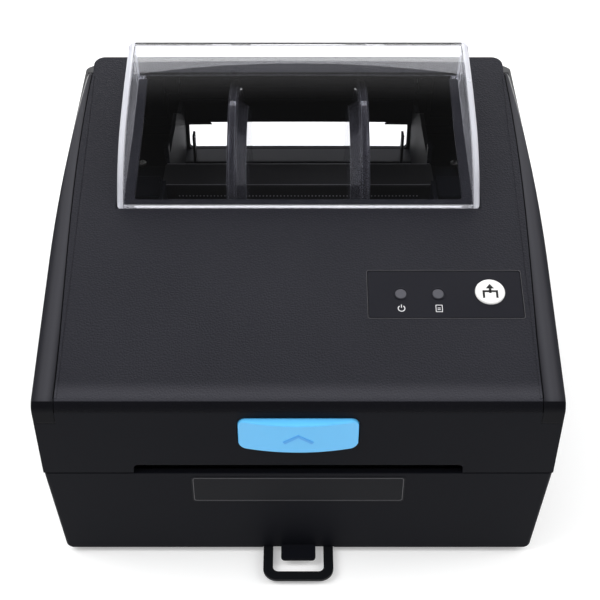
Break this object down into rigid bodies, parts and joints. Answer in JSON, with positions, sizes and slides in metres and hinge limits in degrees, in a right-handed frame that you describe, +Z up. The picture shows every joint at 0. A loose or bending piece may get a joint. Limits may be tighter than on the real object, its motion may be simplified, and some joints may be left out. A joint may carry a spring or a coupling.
{
  "type": "label printer",
  "caption": "Desktop label printer with a hinged lid, a clear curved window over a roll bay with centring guides, a release button, a platen drive and a flat bail.",
  "frame": {"origin": "under the middle of the printer, on the surface it stands on", "axes": "+X to the right seen from the front, +Y to the back, +Z up"},
  "size_m": [0.19, 0.2416, 0.1382],
  "materials": {
    "shell": "fine spark texture, satin",
    "panel": "leather grain, satin",
    "wing": "semi gloss",
    "clear": "polished, clear",
    "smoke": "polished, smoke tint",
    "button": "satin, light blue",
    "white": "satin, white",
    "bezel": "satin",
    "lens": "polished, milky clear",
    "inner": "satin",
    "bar": "brushed satin",
    "gear": "natural acetal",
    "steel": "zinc plated",
    "spring": "bright wire",
    "sink": "extruded",
    "ceramic": "glazed",
    "rubber": "matt",
    "board": "solder mask",
    "motor": "satin",
    "bronze": "sintered",
    "socket": "plated shell",
    "black": "fine texture"
  },
  "bodies": {
    "base": {"base_shell": "shell", "bottom_plate": "black", "rubber_feet": "rubber", "bail_guide": "black", "media_tray": "inner", "guide_bar": "bar", "left_frame": "steel", "right_frame": "steel", "platen_bushings": "bronze", "catch_pins": "steel", "idler_post": "steel", "feed_motor": "motor", "main_board": "board", "power_socket": "black", "data_socket": "socket", "switch_housing": "black", "tray_screws": "steel", "frame_screws": "steel", "board_screws": "steel", "plate_screws": "steel"},
    "lid": {"lid_shell": "shell", "top_panel": "panel", "left_wing": "wing", "right_wing": "wing", "window": "clear", "control_bezel": "bezel", "status_lenses": "lens", "panel_board": "board", "lid_liner": "inner", "web_comb": "inner", "liner_screws": "steel", "panel_screws": "steel", "hinge_pins": "steel", "head_springs": "spring", "head_pivot_pin": "steel"},
    "head": {"print_head": "ceramic", "heat_sink": "sink", "head_bracket": "steel"},
    "latch": {"latch_shaft": "steel", "release_lever": "black", "left_hook": "steel", "right_hook": "steel"},
    "release_button": {"open_button": "button"},
    "feed_key": {"feed_button": "white"},
    "platen": {"platen_roller": "rubber", "platen_shaft": "steel", "platen_gear": "gear"},
    "idler": {"idler_gear": "gear"},
    "motor_rotor": {"motor_shaft": "steel", "motor_pinion": "gear"},
    "right_guide": {"right_flange": "smoke", "right_rack": "inner"},
    "left_guide": {"left_flange": "smoke", "left_rack": "inner"},
    "pinion": {"centring_pinion": "gear"},
    "sensor": {"gap_sensor": "black"},
    "rocker": {"power_rocker": "black"},
    "bail": {"bail": "black"}
  },
  "joints": [
    {"name": "lid_hinge", "type": "hinge", "parent": "base", "child": "lid", "pos_m": [0, 0.1128, 0.08], "axis": [-1, 0, 0], "range_deg": [0, 88]},
    {"name": "release_push", "type": "slide", "parent": "lid", "child": "release_button", "axis": [0, 1, 0], "range_m": [0, 0.003], "stiffness_N_per_m": 400, "springref_m": -0.001},
    {"name": "latch_turn", "type": "hinge", "parent": "lid", "child": "latch", "pos_m": [0, -0.0812, 0.076], "axis": [1, 0, 0], "range_deg": [0, 18]},
    {"name": "feed_push", "type": "slide", "parent": "lid", "child": "feed_key", "axis": [0, 0.2307, -0.973], "range_m": [0, 0.001], "stiffness_N_per_m": 500, "springref_m": -0.0006},
    {"name": "head_tilt", "type": "hinge", "parent": "lid", "child": "head", "pos_m": [0, -0.0532, 0.057], "axis": [-1, 0, 0], "range_deg": [0, 2], "stiffness_Nm_per_rad": 4, "springref_deg": -4.58, "deforming": ["head_springs"]},
    {"name": "platen_turn", "type": "hinge", "parent": "base", "child": "platen", "pos_m": [0, -0.0882, 0.0408], "axis": [1, 0, 0], "continuous": true},
    {"name": "idler_turn", "type": "hinge", "parent": "base", "child": "idler", "pos_m": [0, -0.07581, 0.03213], "axis": [1, 0, 0], "continuous": true},
    {"name": "motor_turn", "type": "hinge", "parent": "base", "child": "motor_rotor", "pos_m": [0, -0.06166, 0.02963], "axis": [1, 0, 0], "continuous": true},
    {"name": "right_guide_slide", "type": "slide", "parent": "base", "child": "right_guide", "axis": [1, 0, 0], "range_m": [-0.01413, 0.0267]},
    {"name": "left_guide_slide", "type": "slide", "parent": "base", "child": "left_guide", "axis": [-1, 0, 0], "range_m": [-0.01414, 0.02671]},
    {"name": "pinion_turn", "type": "hinge", "parent": "base", "child": "pinion", "pos_m": [0, 0.0458, 0.067], "axis": [0, 0, 1], "range_deg": [-383, 203]},
    {"name": "sensor_slide", "type": "slide", "parent": "base", "child": "sensor", "axis": [1, 0, 0], "range_m": [-0.0408, 0.0148]},
    {"name": "switch_rock", "type": "hinge", "parent": "base", "child": "rocker", "pos_m": [-0.076, 0.117, 0.019], "axis": [1, 0, 0], "range_deg": [-14, 0]},
    {"name": "bail_slide", "type": "slide", "parent": "base", "child": "bail", "axis": [0, 1, 0], "range_m": [0, 0.014]}
  ],
  "couplings": [
    {"joint": "latch_turn", "follows": "release_push", "rad_per_m": 101.8},
    {"joint": "idler_turn", "follows": "platen_turn", "ratio": -1.7778},
    {"joint": "motor_turn", "follows": "platen_turn", "ratio": 6.6667},
    {"joint": "left_guide_slide", "follows": "right_guide_slide", "ratio": 1},
    {"joint": "pinion_turn", "follows": "right_guide_slide", "rad_per_m": -250}
  ]
}
